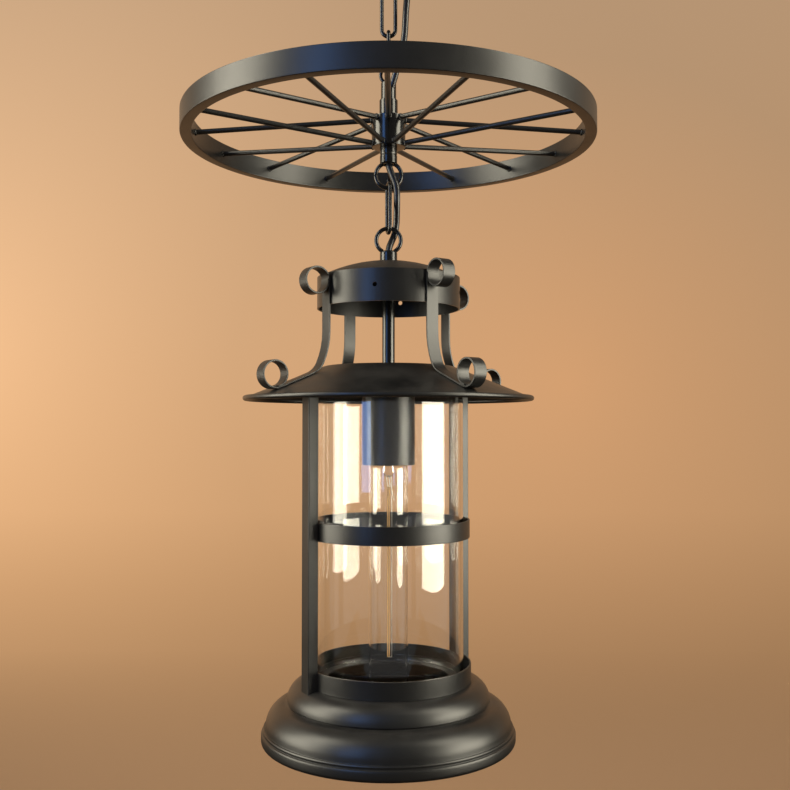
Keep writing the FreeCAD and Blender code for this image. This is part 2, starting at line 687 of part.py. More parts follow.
# ---- lamp ----
def make_socket_cup():
    """Metal cup that hides the lampholder, open below."""
    mouth = (CUP_R, SOCKET_Z)
    side = (CUP_R, SOCKET_TOP - CUP_ROUND)
    crown = (CUP_R - CUP_ROUND, SOCKET_TOP)
    outside = line(mouth, side) + quarter(side, crown, (CUP_R, SOCKET_TOP)) + line(crown, (STUD_R, SOCKET_TOP))
    return spun(outside, CUP_WALL)


def make_lampholder():
    """Ceramic body with the cavity for the screw shell."""
    body = tube(HOLDER_R, 0, HOLDER_Z, HOLDER_TOP)
    ends = [edge for edge in body.Edges if len(edge.Vertexes) == 1]
    body = body.makeChamfer(NECK_EDGE, ends)
    body = body.cut(tube(SHELL_BORE_R + SHELL_WALL, 0, HOLDER_Z, SHELL_TOP))
    return body.cut(tube(STUD_R, 0, HOLDER_TOP - HOLDER_SOCKET, HOLDER_TOP))


def make_cap_insulator():
    low, high = CAP_SHELL_TOP, CAP_TIP_TOP - CAP_TIP_HEIGHT
    return revolved(line((0, low), (CAP_R - CAP_WALL, low), (CAP_TIP_R, high), (0, high), (0, low)))


def make_bulb_glass():
    """Long tubular bulb with a round end; its neck stands in the cap."""
    top = CAP_Z + CAP_DEPTH
    shoulder = CAP_Z - BULB_NECK_LENGTH

    def outline(inset):
        wide, thin = BULB_R - inset, BULB_NECK_R - inset
        low = BULB_Z + inset
        round_start = (wide, BULB_Z + BULB_R)
        edges = line((0, top), (thin, top), (thin, CAP_Z - inset), (wide, shoulder - inset), round_start)
        edges += quarter(round_start, (0, low), (wide, low))
        return revolved(edges + line((0, low), (0, top)))

    return outline(0).cut(outline(BULB_WALL))


def make_bulb_stem():
    """Glass mount: a disc that closes the neck and a rod that carries the wires."""
    top = CAP_Z + CAP_DEPTH
    disc = tube(BULB_NECK_R - BULB_WALL, 0, top - STEM_FLARE_HEIGHT, top)
    rod = tube(STEM_R, 0, STEM_Z, top)
    tip = Part.makeSphere(STEM_R, V(0, 0, STEM_Z))
    return disc.fuse([rod, tip]).removeSplitter()


def make_filament():
    return tube(FILAMENT_R, 0, FILAMENT_TOP - FILAMENT_LENGTH, FILAMENT_TOP)


def make_filament_supports():
    """A short wire to the filament's top, and a long one round to its foot."""
    short = tube(SUPPORT_R, 0, FILAMENT_TOP, STEM_Z - STEM_R)
    foot = FILAMENT_TOP - FILAMENT_LENGTH - SUPPORT_R
    side = V(SUPPORT_SPREAD, 0, 0)
    upright = rod_between(side + V(0, 0, STEM_Z), side + V(0, 0, foot), SUPPORT_R)
    cross = rod_between(side + V(0, 0, foot), V(-SUPPORT_R, 0, foot), SUPPORT_R)
    wire = upright.fuse([cross, Part.makeSphere(SUPPORT_R, side + V(0, 0, foot))])
    wire = wire.cut(make_bulb_stem()).cut(make_filament())
    return Part.makeCompound([short, largest(wire)])


# ---- glass and its frame ----
def make_seat_ring():
    """Ledge that carries the glass, with a lip round the outside of the glass."""
    lip_r = GLASS_R + GLASS_SIDE_GAP
    ledge = tube(LOWER_CUP_R - LOWER_CUP_WALL, SEAT_RING_INNER_R, BASE_TOP, SEAT_TOP)
    lip = tube(lip_r + SEAT_LIP_WALL, lip_r, SEAT_TOP, SEAT_TOP + SEAT_LIP_HEIGHT)
    return ledge.fuse(lip).removeSplitter()


def base_outline():
    """The stepped bell's outside, from the foot up to the flat top."""
    foot = (BASE_R - BASE_FOOT_IN, BASE_Z)
    band_low = (BASE_R, BASE_Z + BASE_FOOT_RISE)
    band_high = (BASE_R, band_low[1] + BASE_BAND_HEIGHT)
    bead_low = (BASE_R - BASE_BEAD, band_high[1] + BASE_BEAD)
    bead_high = (bead_low[0], bead_low[1] + BASE_BEAD_HEIGHT)
    flank = (bead_high[0] - BASE_BEAD, bead_high[1] + BASE_BEAD)
    step = (BASE_STEP_R, BASE_TOP - BASE_STEP_DROP)
    cove = (BASE_STEP_R - BASE_COVE, step[1] - BASE_COVE)
    shoulder = (BASE_STEP_R + BASE_COVE, cove[1] - BASE_COVE)
    top = (LOWER_CUP_R + LOWER_CUP_PROUD, BASE_TOP)
    edges = line(foot, band_low, band_high, bead_low, bead_high, flank)
    edges += swell(flank, shoulder)
    edges += line(shoulder, cove, step)
    edges += swell(step, top)
    return edges + line(top, (BASE_TOP_HOLE_R, BASE_TOP))


def swell(low, high):
    """A bulging quarter between two points, upright at the lower one and flat at the upper one."""
    share = math.sqrt(0.5)
    middle = (high[0] + (low[0] - high[0]) * share, low[1] + (high[1] - low[1]) * share)
    return [Part.Arc(*[V(r, 0, z) for r, z in (low, middle, high)]).toShape()]


def make_base():
    return spun(base_outline(), BASE_WALL)


def make_bar(azimuth, roof, base):
    """Upright bar from under the roof to the base's shoulder, outside the band and the cup."""
    high = roof_height(BAND_R)
    low = BASE_TOP - BASE_STEP_DROP
    bar = Part.makeBox(BAR_DEPTH, BAR_WIDTH, high - low, V(BAND_R, -BAR_WIDTH / 2, low))
    uprights = [edge for edge in bar.Edges if edge.Length > BAR_WIDTH]
    bar = turned(bar.makeFillet(BAR_ROUND, uprights), azimuth)
    lower_cup = tube(LOWER_CUP_R, 0, BASE_TOP, BASE_TOP + LOWER_CUP_HEIGHT)
    return largest(bar.cut(roof).cut(base).cut(lower_cup))


def build():
    """Every piece by its node name."""
    hub = make_hub_body()
    rim = make_rim()
    roof = make_roof()
    base = make_base()
    tube_top = LANTERN_NECK_TOP - LANTERN_TUBE_INSET
    nuts = [hexagon(NUT_FLATS, NUT_HEIGHT, top) for top in NUT_TOPS]
    parts = {
        "ceiling_bracket": make_bracket(),
        "canopy": make_canopy(),
        "canopy_screws": make_side_screws(),
        "canopy_loop": make_canopy_loop(),
        "canopy_nut": hexagon(NUT_FLATS, NUT_HEIGHT, CANOPY_Z + CANOPY_WALL + NUT_HEIGHT),
        "cord_grip": make_cord_grip(),
        "terminal_block": make_terminal_block(),
        "canopy_leads": make_canopy_leads(),
        "cable_in_canopy": rod_between(V(GRIP_X, 0, UPPER_ROUTE[0][2]), V(GRIP_X, 0, CABLE_TOP), CABLE_R),
        "cable_upper": route_tube("upper cable", UPPER_ROUTE, CABLE_R),
        "chain_link_1": chain_link(LONG_LINK, LINK_1_TOP, 90),
        "chain_link_2": chain_link(SHORT_LINK, LINK_2_TOP, 0),
        "hub_top_loop": make_hub_top_loop(),
        "hub_body": hub,
        "hub_stud": tube(STUD_R, STUD_BORE_R, FINIAL_Z + STUD_INSET, HUB_TUBE_TOP - STUD_DROP),
        "hub_lower_loop": make_lower_loop(HUB_LOWER_RING_D, HUB_LOWER_RING_Z, FINIAL_R, FINIAL_Z, HUB_Z),
        "wheel_rim": rim,
        "upper_spokes": make_spokes(HUB_TOP - SPOKE_EDGE, 0, hub, rim),
        "lower_spokes": make_spokes(HUB_Z + SPOKE_EDGE, 180 / SPOKE_PAIRS, hub, rim),
        "cable_in_hub": route_tube("cable in the hub", HUB_ROUTE, CABLE_R),
        "cable_lower": route_tube("lower cable", LOWER_ROUTE, CABLE_R),
        "chain_link_3": chain_link(LONG_LINK, LINK_3_TOP, LINK_3_AZ),
        "lantern_loop": make_lower_loop(LANTERN_RING_D, LANTERN_RING_TOP - LANTERN_RING_D, LANTERN_NECK_R,
                                        DOME_TOP, LANTERN_NECK_TOP),
        "threaded_tube": tube(STUD_R, STUD_BORE_R, HOLDER_TOP - HOLDER_SOCKET, tube_top),
        "tube_nuts": Part.makeCompound(nuts),
        "spacer_tube": tube(SPACER_R, SPACER_BORE_R, ROOF_TOP, NUT_TOPS[0] - NUT_HEIGHT),
        "cable_in_tube": tube(CABLE_R, 0, HOLDER_TOP - HOLDER_SOCKET, LANTERN_CABLE_HEAD),
        "dome_cap": make_dome(),
        "collar": make_collar(),
        "roof": roof,
        "socket_cup": make_socket_cup(),
        "lampholder": make_lampholder(),
        "screw_shell": tube(SHELL_BORE_R + SHELL_WALL, SHELL_BORE_R, SHELL_Z, SHELL_TOP),
        "holder_contact": tube(CONTACT_R, 0, CONTACT_Z, SHELL_TOP),
        "bulb_cap": tube(CAP_R, CAP_R - CAP_WALL, CAP_Z, CAP_SHELL_TOP),
        "bulb_insulator": make_cap_insulator(),
        "bulb_tip": tube(CAP_TIP_R, 0, CAP_TIP_TOP - CAP_TIP_HEIGHT, CAP_TIP_TOP),
        "bulb_glass": make_bulb_glass(),
        "bulb_stem": make_bulb_stem(),
        "filament": make_filament(),
        "filament_supports": make_filament_supports(),
        "glass_cylinder": tube(GLASS_R, GLASS_R - GLASS_WALL, SEAT_TOP, GLASS_TOP),
        "middle_band": tube(BAND_R, BAND_R - BAND_WALL, BAND_Z, BAND_Z + BAND_HEIGHT),
        "lower_cup": tube(LOWER_CUP_R, LOWER_CUP_R - LOWER_CUP_WALL, BASE_TOP, BASE_TOP + LOWER_CUP_HEIGHT),
        "glass_seat": make_seat_ring(),
        "base": base,
    }
    for index in range(BARS):
        parts[f"side_bar_{index + 1}"] = make_bar(BAR_AZ + 360 / BARS * index, roof, base)
    for index, top_drop in enumerate(STRAP_TOP_DROPS):
        parts[f"strap_{index + 1}"] = make_strap(STRAP_AZ + 360 / len(STRAP_TOP_DROPS) * index, top_drop)
    return parts


os.makedirs("parts", exist_ok=True)
for node, shape in build().items():
    if not shape.isValid() or min(solid.Volume for solid in shape.Solids) <= 0:
        print("not a sound solid:", node)
    shape.exportStep(f"parts/{node}.step")
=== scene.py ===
"""Looks of the wagon wheel chandelier: black powder-coated iron, clear glass, a filament bulb and a cable."""
import json
import math

import bmesh
import bpy
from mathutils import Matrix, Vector

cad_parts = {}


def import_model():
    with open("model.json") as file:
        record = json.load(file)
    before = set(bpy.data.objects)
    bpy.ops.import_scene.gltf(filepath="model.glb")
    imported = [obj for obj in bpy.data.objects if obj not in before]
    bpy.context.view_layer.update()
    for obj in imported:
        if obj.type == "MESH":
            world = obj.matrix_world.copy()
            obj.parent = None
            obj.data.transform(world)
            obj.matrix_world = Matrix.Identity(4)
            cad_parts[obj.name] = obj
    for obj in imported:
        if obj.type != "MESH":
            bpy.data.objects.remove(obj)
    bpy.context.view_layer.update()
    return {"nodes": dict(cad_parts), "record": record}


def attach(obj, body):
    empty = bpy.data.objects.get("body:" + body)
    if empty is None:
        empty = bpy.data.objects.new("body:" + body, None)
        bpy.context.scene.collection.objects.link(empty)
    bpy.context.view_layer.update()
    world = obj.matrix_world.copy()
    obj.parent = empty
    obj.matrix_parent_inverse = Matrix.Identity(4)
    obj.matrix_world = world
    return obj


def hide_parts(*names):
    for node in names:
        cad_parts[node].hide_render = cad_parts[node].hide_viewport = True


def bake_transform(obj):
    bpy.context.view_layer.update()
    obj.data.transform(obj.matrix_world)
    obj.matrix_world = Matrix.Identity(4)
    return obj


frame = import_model()
nodes = frame["nodes"]

# Sizes are in millimetres. Heights run down from the ceiling at 0, and azimuth 0 is the front.
MM = 0.001
# Points nearer to each other than this, in metres, are one point.
SEAM = 0.000002


# ---- shader sums ----
class Finish:
    """A material under construction: its nodes are made and wired here."""

    def __init__(self, name):
        self.material = bpy.data.materials.new(name)
        self.material.use_nodes = True
        self.tree = self.material.node_tree
        self.tree.nodes.clear()
        self.output = self.tree.nodes.new("ShaderNodeOutputMaterial")
        self.place = self.node("ShaderNodeTexCoord")["Object"]

    def node(self, kind, settings=None, **values):
        """A node of that kind: its settings first, then the values or links of its sockets by name or as s0, s1."""
        made = self.tree.nodes.new(kind)
        for key, value in (settings or {}).items():
            setattr(made, key, value)
        for key, value in values.items():
            name = key.replace("_", " ")
            socket = made.inputs[int(name[1:])] if name[0] == "s" and name[1:].isdigit() else made.inputs[name]
            self.feed(socket, value)
        return Outlets(self, made)

    def feed(self, socket, value):
        """A link where the value comes from a node, or else the value itself."""
        if isinstance(value, Wire):
            self.tree.links.new(value.socket, socket)
        elif hasattr(value, "__len__") and len(value) == 3 and len(socket.default_value) == 4:
            socket.default_value = (*value, 1)
        else:
            socket.default_value = value

    def noise(self, scale, detail=3, roughness=0.5, place=None):
        """Cloudy values about 0.5; scale is in patches per metre."""
        return self.node("ShaderNodeTexNoise", Vector=place or self.place, Scale=scale, Detail=detail,
                         Roughness=roughness)["Fac"]

    def mix(self, share, one, other):
        """A colour that goes from one to other with the share."""
        return self.node("ShaderNodeMix", {"data_type": "RGBA"}, s0=share, s6=one, s7=other).outlet(2)

    def bump(self, height, distance, under=None):
        """Relief of that depth, on top of the relief under it."""
        values = {"Height": height, "Distance": distance, "Strength": 1.0}
        if under:
            values["Normal"] = under
        return self.node("ShaderNodeBump", **values)["Normal"]

    def surface(self, shader):
        """The finished material."""
        self.feed(self.output.inputs["Surface"], shader)
        return self.material

    def principled(self, **values):
        return self.surface(self.node("ShaderNodeBsdfPrincipled", **values)["BSDF"])


class Outlets:
    """A node's outputs, by name or by number."""

    def __init__(self, finish, made):
        self.finish = finish
        self.made = made

    def __getitem__(self, name):
        return Wire(self.finish, self.made.outputs[name])

    def outlet(self, index):
        return Wire(self.finish, self.made.outputs[index])


class Wire:
    """A socket that takes part in sums."""

    def __init__(self, finish, socket):
        self.finish = finish
        self.socket = socket

    def sum(self, operation, first, second):
        return self.finish.node("ShaderNodeMath", {"operation": operation}, s0=first, s1=second)["Value"]

    def __add__(self, other):
        return self.sum("ADD", self, other)

    __radd__ = __add__

    def __mul__(self, other):
        return self.sum("MULTIPLY", self, other)

    __rmul__ = __mul__

    def __sub__(self, other):
        return self.sum("SUBTRACT", self, other)

    def __rsub__(self, other):
        return self.sum("SUBTRACT", other, self)

    def __truediv__(self, other):
        return self.sum("DIVIDE", self, other)

    def clamped(self):
        return self.finish.node("ShaderNodeClamp", Value=self)["Result"]


# ---- materials ----
DUST_TONE, RUBBED_TONE = (0.16, 0.14, 0.12), (0.09, 0.085, 0.075)
EDGE_START, EDGE_GAIN = 0.54, 8.0


def black_powder_coat(name, colour, rough, peel, dust=0.5):
    """Satin black on iron: orange peel, cloudy sheen, rubbed edges and a little dust on what faces up."""
    f = Finish(name)
    cloud = f.noise(26, 4, 0.6)
    fine = f.noise(900, 2)
    grain = f.noise(2600, 1)
    ground = f.node("ShaderNodeNewGeometry")
    facing = f.node("ShaderNodeSeparateXYZ", Vector=ground["Normal"])["Z"]
    rubbed = ((ground["Pointiness"] - EDGE_START) * EDGE_GAIN).clamped() * cloud
    settled = ((facing - 0.55) * 2.0).clamped() * (cloud - 0.32).clamped() * dust
    dark = f.mix(cloud, colour, tuple(c * 1.7 for c in colour))
    dusty = f.mix(settled, dark, DUST_TONE)
    tone = f.mix(rubbed * 0.25, dusty, RUBBED_TONE)
    sheen = rough + (cloud - 0.5) * 0.14 + (fine - 0.5) * 0.06 + settled * 0.5 - rubbed * 0.08
    relief = f.bump(grain, peel * 0.3 * MM, f.bump(fine, peel * MM))
    return f.principled(Base_Color=tone, Roughness=sheen.clamped(), Normal=relief)


def plated(name, colour, rough, drawn):
    """Zinc or brass with drawn lines round the axis."""
    f = Finish(name)
    flat = f.node("ShaderNodeMapping", Vector=f.place, Scale=(1, 1, drawn))["Vector"]
    streak = f.noise(300, 2, place=flat)
    cloud = f.noise(60, 3)
    tone = f.mix(cloud, tuple(c * 0.75 for c in colour), colour)
    return f.principled(Base_Color=tone, Metallic=1.0, Roughness=(rough + (streak - 0.5) * 0.2).clamped(),
                        Normal=f.bump(streak, 0.02 * MM))


def moulded(name, colour, rough, speckle=0.05):
    """Plastic or glazed ceramic, nearly plain."""
    f = Finish(name)
    cloud = f.noise(90, 3)
    fine = f.noise(1500, 2)
    tone = f.mix(cloud, tuple(c * (1 - speckle) for c in colour), colour)
    return f.principled(Base_Color=tone, Roughness=(rough + (cloud - 0.5) * 0.1).clamped(),
                        Normal=f.bump(fine, 0.02 * MM))


def clear_glass(name, colour, smear):
    """Clear drawn glass with a faint breath of dust."""
    f = Finish(name)
    wavy = f.noise(18, 1)
    dust = f.noise(45, 4, 0.7)
    return f.principled(Base_Color=colour, Roughness=((dust - 0.5) * smear).clamped(), Transmission_Weight=1.0,
                        IOR=1.47, Normal=f.bump(wavy, 0.15 * MM))


def filament_coating(name):
    """Amber coating on the unlit strands."""
    f = Finish(name)
    bands = f.noise(700, 2)
    tone = f.mix(bands, (0.80, 0.42, 0.10), (0.95, 0.62, 0.24))
    return f.principled(Base_Color=tone, Roughness=0.5, Normal=f.bump(bands, 0.1 * MM))


BLACK = black_powder_coat("black_powder_coat", (0.0075, 0.0075, 0.0075), 0.37, 0.05)
BLACK_TURNED = black_powder_coat("black_gloss_turned", (0.006, 0.006, 0.006), 0.2, 0.02, 0.3)
BLACK_CHAIN = black_powder_coat("black_chain", (0.007, 0.007, 0.007), 0.26, 0.05, 0.3)
ZINC = plated("zinc_plate", (0.55, 0.56, 0.57), 0.35, 0.1)
BRASS = plated("drawn_brass", (0.78, 0.6, 0.32), 0.25, 0.1)
BLACK_PLASTIC = moulded("black_plastic", (0.02, 0.02, 0.02), 0.45)
WHITE_PLASTIC = moulded("white_plastic", (0.78, 0.77, 0.72), 0.4)
CERAMIC = moulded("white_ceramic", (0.82, 0.8, 0.75), 0.2)
SHEATH = moulded("cable_sheath", (0.012, 0.013, 0.018), 0.3, 0.3)
LEAD = moulded("brown_core", (0.2, 0.08, 0.03), 0.4)
GLASS = clear_glass("clear_glass_tube", (0.985, 0.99, 0.985), 0.1)
BULB_GLASS = clear_glass("clear_bulb_glass", (0.99, 0.985, 0.97), 0.06)
FILAMENT = filament_coating("amber_filament")
SUPPORT = plated("support_wire", (0.6, 0.57, 0.52), 0.3, 1)

BY_SLOT = {
    "black_paint": BLACK, "zinc_steel": ZINC, "black_plastic": BLACK_PLASTIC, "white_plastic": WHITE_PLASTIC,
    "lead_sheath": LEAD, "cable_sheath": SHEATH, "white_ceramic": CERAMIC, "brass": BRASS, "clear_glass": GLASS,
    "bulb_glass": BULB_GLASS, "amber_filament": FILAMENT, "support_wire": SUPPORT,
}
GLOSSY = ("hub_top_loop", "hub_body", "hub_lower_loop", "lantern_loop", "canopy_loop", "spacer_tube")
CHAIN = ("chain_link_1", "chain_link_2", "chain_link_3")

slot_of = {row["node"]: row["material_slot"] for row in frame["record"]["subparts"]}
body_of = {node: body for body, members in frame["record"]["behaviour"]["bodies"].items() for node in members}


def material_of(node):
    """A machined piece's finish: turned and chain pieces shine more than painted sheet."""
    if node in GLOSSY:
        return BLACK_TURNED
    if node in CHAIN:
        return BLACK_CHAIN
    return BY_SLOT[slot_of[node]]


def wear(piece, material):
    """The piece has that one material and slot."""
    piece.data.materials.clear()
    piece.data.materials.append(material)


# ---- workshop ----
def alone(piece):
    """Only that piece is selected, and operators act on it."""
    bpy.ops.object.select_all(action="DESELECT")
    piece.select_set(True)
    bpy.context.view_layer.objects.active = piece


def added(operator, name, **settings):
    """A primitive from that operator, with its place and turn applied to its mesh."""
    bpy.ops.object.select_all(action="DESELECT")
    operator(**settings)
    piece = bpy.context.object
    piece.name = name
    bpy.ops.object.transform_apply(location=True, rotation=True, scale=True)
    return piece


def edit(piece):
    """Edit mode on that piece."""
    alone(piece)
    bpy.ops.object.mode_set(mode="EDIT")


def close_edit():
    bpy.ops.object.mode_set(mode="OBJECT")


def pick(piece, test):
    """In edit mode, select the vertices whose place in millimetres passes the test."""
    mesh = bmesh.from_edit_mesh(piece.data)
    for vertex in mesh.verts:
        vertex.select_set(test(*(c / MM for c in vertex.co)))
    mesh.select_flush_mode()
    bmesh.update_edit_mesh(piece.data)


def drawn(name, points):
    """In edit mode: one vertex, extruded through the points, left all selected."""
    piece = added(bpy.ops.mesh.primitive_plane_add, name, size=MM)
    edit(piece)
    bpy.ops.mesh.select_all(action="SELECT")
    bpy.ops.mesh.merge(type="CENTER")
    bpy.ops.transform.translate(value=[c * MM for c in points[0]])
    for here, there in zip(points, points[1:]):
        step = [(b - a) * MM for a, b in zip(here, there)]
        bpy.ops.mesh.extrude_region_move(TRANSFORM_OT_translate={"value": step})
    bpy.ops.mesh.select_all(action="SELECT")
    bpy.ops.mesh.remove_doubles(threshold=SEAM)
    return piece


def apply_modifier(piece, kind, **settings):
    """A modifier with those settings, applied at once."""
    alone(piece)
    modifier = piece.modifiers.new("shape", kind)
    for key, value in settings.items():
        setattr(modifier, key, value)
    bpy.ops.object.modifier_apply(modifier=modifier.name)


def thick(piece, wall, offset=-1.0):
    """A sheet is given its wall, inwards or, with offset 0, to both sides."""
    apply_modifier(piece, "SOLIDIFY", thickness=wall * MM, offset=offset, use_even_offset=True)


def broken(piece, edge, angle=35, segments=2):
    """Its sharp edges broken."""
    apply_modifier(piece, "BEVEL", width=edge * MM, segments=segments, limit_method="ANGLE",
                   angle_limit=math.radians(angle), harden_normals=False)


def spun(name, outline, wall=0.0, edge=0.3, steps=128):
    """A turned piece: its outline of (radius, height), closed or a sheet to which the wall is given inwards."""
    piece = drawn(name, [(r, 0, z) for r, z in outline])
    bpy.ops.mesh.spin(steps=steps, angle=math.tau, center=(0, 0, 0), axis=(0, 0, 1))
    bpy.ops.mesh.select_all(action="SELECT")
    bpy.ops.mesh.remove_doubles(threshold=SEAM)
    bpy.ops.mesh.normals_make_consistent(inside=False)
    close_edit()
    if wall:
        thick(piece, wall)
    if edge:
        broken(piece, edge)
    return piece


def cut(piece, cutter, operation="DIFFERENCE"):
    """The piece less the cutter, or joined with it."""
    apply_modifier(piece, "BOOLEAN", object=cutter, operation=operation, solver="EXACT")
    bpy.data.objects.remove(cutter)


def rod(name, start, end, radius, sides=32):
    """A round bar between two points in millimetres."""
    start, end = Vector(start) * MM, Vector(end) * MM
    way = end - start
    return added(bpy.ops.mesh.primitive_cylinder_add, name, vertices=sides, radius=radius * MM, depth=way.length,
                 location=(start + end) / 2, rotation=way.to_track_quat("Z", "Y").to_euler())


def joined(name, pieces):
    """One piece of several."""
    bpy.ops.object.select_all(action="DESELECT")
    for piece in pieces:
        piece.select_set(True)
    bpy.context.view_layer.objects.active = pieces[0]
    bpy.ops.object.join()
    pieces[0].name = name
    return pieces[0]


def turned_to(piece, azimuth):
    """A piece made on the +X side, turned about the lamp's axis to the azimuth."""
    alone(piece)
    piece.rotation_euler.z = math.radians(azimuth - 90)
    bpy.ops.object.transform_apply(location=False, rotation=True, scale=False)
    return piece


def at(radius, azimuth, z):
    """A place by its distance from the axis, its azimuth from the front towards +X, and its height."""
    turn = math.radians(azimuth)
    return radius * math.sin(turn), -radius * math.cos(turn), z


def stands_for(piece, *replaced, smooth=35, material=None):
    """The piece is shaded, rides with the nodes that it replaces, and takes their finish."""
    alone(piece)
    bpy.ops.object.shade_smooth_by_angle(angle=math.radians(smooth))
    apply_modifier(piece, "WEIGHTED_NORMAL", weight=50, keep_sharp=True)
    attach(piece, body_of[replaced[0]])
    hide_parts(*replaced)
    wear(piece, material or material_of(replaced[0]))


def arc(centre, radius, start, end, count=8):
    """Points of an arc in an outline, in degrees from outwards towards up; radius is one number or two."""
    wide, high = radius if isinstance(radius, tuple) else (radius, radius)
    angles = [math.radians(start + (end - start) * k / count) for k in range(count + 1)]
    return [(centre[0] + wide * math.cos(a), centre[1] + high * math.sin(a)) for a in angles]


def band(outer, inner, low, high):
    """A plain tube's closed outline."""
    return [(outer, low), (outer, high), (inner, high), (inner, low), (outer, low)]


def softened(node, edge=0.0, angle=30):
    """A copy of a machined piece takes its place, with its seams closed and its sharp edges broken."""
    piece = nodes[node].copy()
    piece.data = nodes[node].data.copy()
    piece.name = node + "_dressed"
    bpy.context.scene.collection.objects.link(piece)
    edit(piece)
    bpy.ops.mesh.select_all(action="SELECT")
    bpy.ops.mesh.remove_doubles(threshold=SEAM)
    close_edit()
    for key in list(piece.keys()):
        del piece[key]
    if edge:
        broken(piece, edge, angle)
    stands_for(piece, node, smooth=angle)


# ---- ceiling fitting ----
SHEET = 1.2
LOOP_HOLE_R = 5.0
GRIP_X, GRIP_HOLE_R = 19.0, 6.5
CANOPY_R, CANOPY_Z, CANOPY_CORNER = 60.0, -25.0, 6.0
SCREW_Z, SCREW_R = -9.0, 2.0

canopy = spun("canopy_cup", [(CANOPY_R, 0.0), (CANOPY_R, CANOPY_Z + CANOPY_CORNER)]
              + arc((CANOPY_R - CANOPY_CORNER, CANOPY_Z + CANOPY_CORNER), CANOPY_CORNER, 0, -90)[1:]
              + [(LOOP_HOLE_R, CANOPY_Z)], SHEET)
cut(canopy, rod("bore", (GRIP_X, 0, CANOPY_Z - 15), (GRIP_X, 0, CANOPY_Z + 15), GRIP_HOLE_R))
for side in (-1, 1):
    cut(canopy, rod("bore", (side * (CANOPY_R - 10), 0, SCREW_Z), (side * (CANOPY_R + 10), 0, SCREW_Z), SCREW_R))
stands_for(canopy, "canopy")

# A ribbed bush with a flange under the canopy, which narrows towards the cable.
grip = spun("cable_grip", [
    (3.7, -18.0), (6.4, -18.0), (6.4, -25.1), (8.5, -25.1), (8.5, -27.6), (6.9, -28.4), (6.5, -30.6), (5.9, -31.4),
    (6.2, -32.6), (6.1, -34.8), (5.5, -35.6), (5.8, -36.8), (5.6, -39.0), (4.9, -39.8), (5.1, -41.0), (4.8, -44.6),
    (3.9, -46.0), (3.7, -18.0)], edge=0.3, steps=48)
alone(grip)
grip.location.x = GRIP_X * MM
bpy.ops.object.transform_apply(location=True, rotation=False, scale=False)
stands_for(grip, "cord_grip")
softened("canopy_screws", 0.25)
softened("terminal_block", 0.4)
softened("ceiling_bracket", 0.3)


# ---- chain and loops ----
LINK_WIRE, LINK_WIDTH, LINK_STEPS = 3.9, 17.2, 64
# What is left of the wire's thickness where its two ends meet.
PINCH = 0.78


def link(name, length, top, azimuth):
    """A round-wire link, drawn long from a ring, and pinched on one side where its wire meets."""
    bend = (LINK_WIDTH - LINK_WIRE) / 2
    middle = top - length / 2
    piece = added(bpy.ops.mesh.primitive_torus_add, name, major_radius=bend * MM, minor_radius=LINK_WIRE / 2 * MM,
                  major_segments=LINK_STEPS, minor_segments=20)
    edit(piece)
    bpy.ops.mesh.select_all(action="SELECT")
    bpy.ops.transform.rotate(value=math.pi / LINK_STEPS, orient_axis="Z", center_override=(0, 0, 0))
    close_edit()
    piece.rotation_euler.x = math.pi / 2
    piece.location.z = middle * MM
    bpy.ops.object.transform_apply(location=True, rotation=True, scale=False)
    edit(piece)
    for way in (-1, 1):
        pick(piece, lambda x, y, z: (z - middle) * way > 0)
        bpy.ops.transform.translate(value=(0, 0, way * (length - LINK_WIDTH) / 2 * MM))
    for height in (-0.5, 0.0, 0.5):
        bpy.ops.mesh.select_all(action="SELECT")
        bpy.ops.mesh.bisect(plane_co=(0, 0, (middle + height) * MM), plane_no=(0, 0, 1))
    pick(piece, lambda x, y, z: x < 0 and abs(z - middle) < 0.1)
    bpy.ops.transform.resize(value=(PINCH, PINCH, 1), center_override=(-bend * MM, 0, middle * MM))
    close_edit()
    turned_to(piece, azimuth)
    stands_for(piece, name.replace("_wire", ""), smooth=50)


link("chain_link_1_wire", 52.0, -47.8, 90)
link("chain_link_2_wire", 43.0, -91.7, 0)
link("chain_link_3_wire", 52.0, -241.6, 13)


def loop(name, node, diameter, wire, low, outline, edge_on=False, window=None, holes=0):
    """A ring brazed on a turned neck; the cable's window goes through the ring, or with two holes the neck too."""
    neck = spun(name, outline, edge=0.5, steps=64)
    ring = added(bpy.ops.mesh.primitive_torus_add, "ring", major_radius=(diameter - wire) / 2 * MM,
                 minor_radius=wire / 2 * MM, major_segments=96, minor_segments=24,
                 location=(0, 0, (low + diameter / 2) * MM),
                 rotation=(0, math.pi / 2, 0) if edge_on else (math.pi / 2, 0, 0))
    for target in (ring, neck)[:holes]:
        cut(target, rod("bore", *window))
    cut(neck, ring, "UNION")
    stands_for(neck, node, smooth=40)


NECK_BORE_R, WINDOW_R = 5.05, 3.6
loop("canopy_ring", "canopy_loop", 29.0, 4.0, -56.0,
     [(0, 0.0), (5.0, 0.0), (5.0, -25.0), (8.5, -25.0), (8.5, -31.6), (7.6, -33.0), (0, -33.0)], edge_on=True)
loop("hub_top_ring", "hub_top_loop", 19.0, 3.5, -146.0,
     [(0, -149.0), (5.0, -149.0), (5.0, -161.0), (7.5, -161.0), (7.5, -144.4), (6.4, -143.0), (0, -143.0)],
     window=((0, 0, -159.0), (8.6, -9.0, -132.0), WINDOW_R), holes=2)
loop("hub_lower_ring", "hub_lower_loop", 29.0, 4.0, -249.8,
     [(5.0, -208.0), (8.5, -208.0), (8.5, -214.5), (7.9, -215.3), (8.5, -216.1), (8.5, -223.4), (7.2, -225.0),
      (5.0, -225.0), (5.0, -208.0)],
     window=((0, 0, -206.0), (0, 0, -229.0), NECK_BORE_R), holes=1)
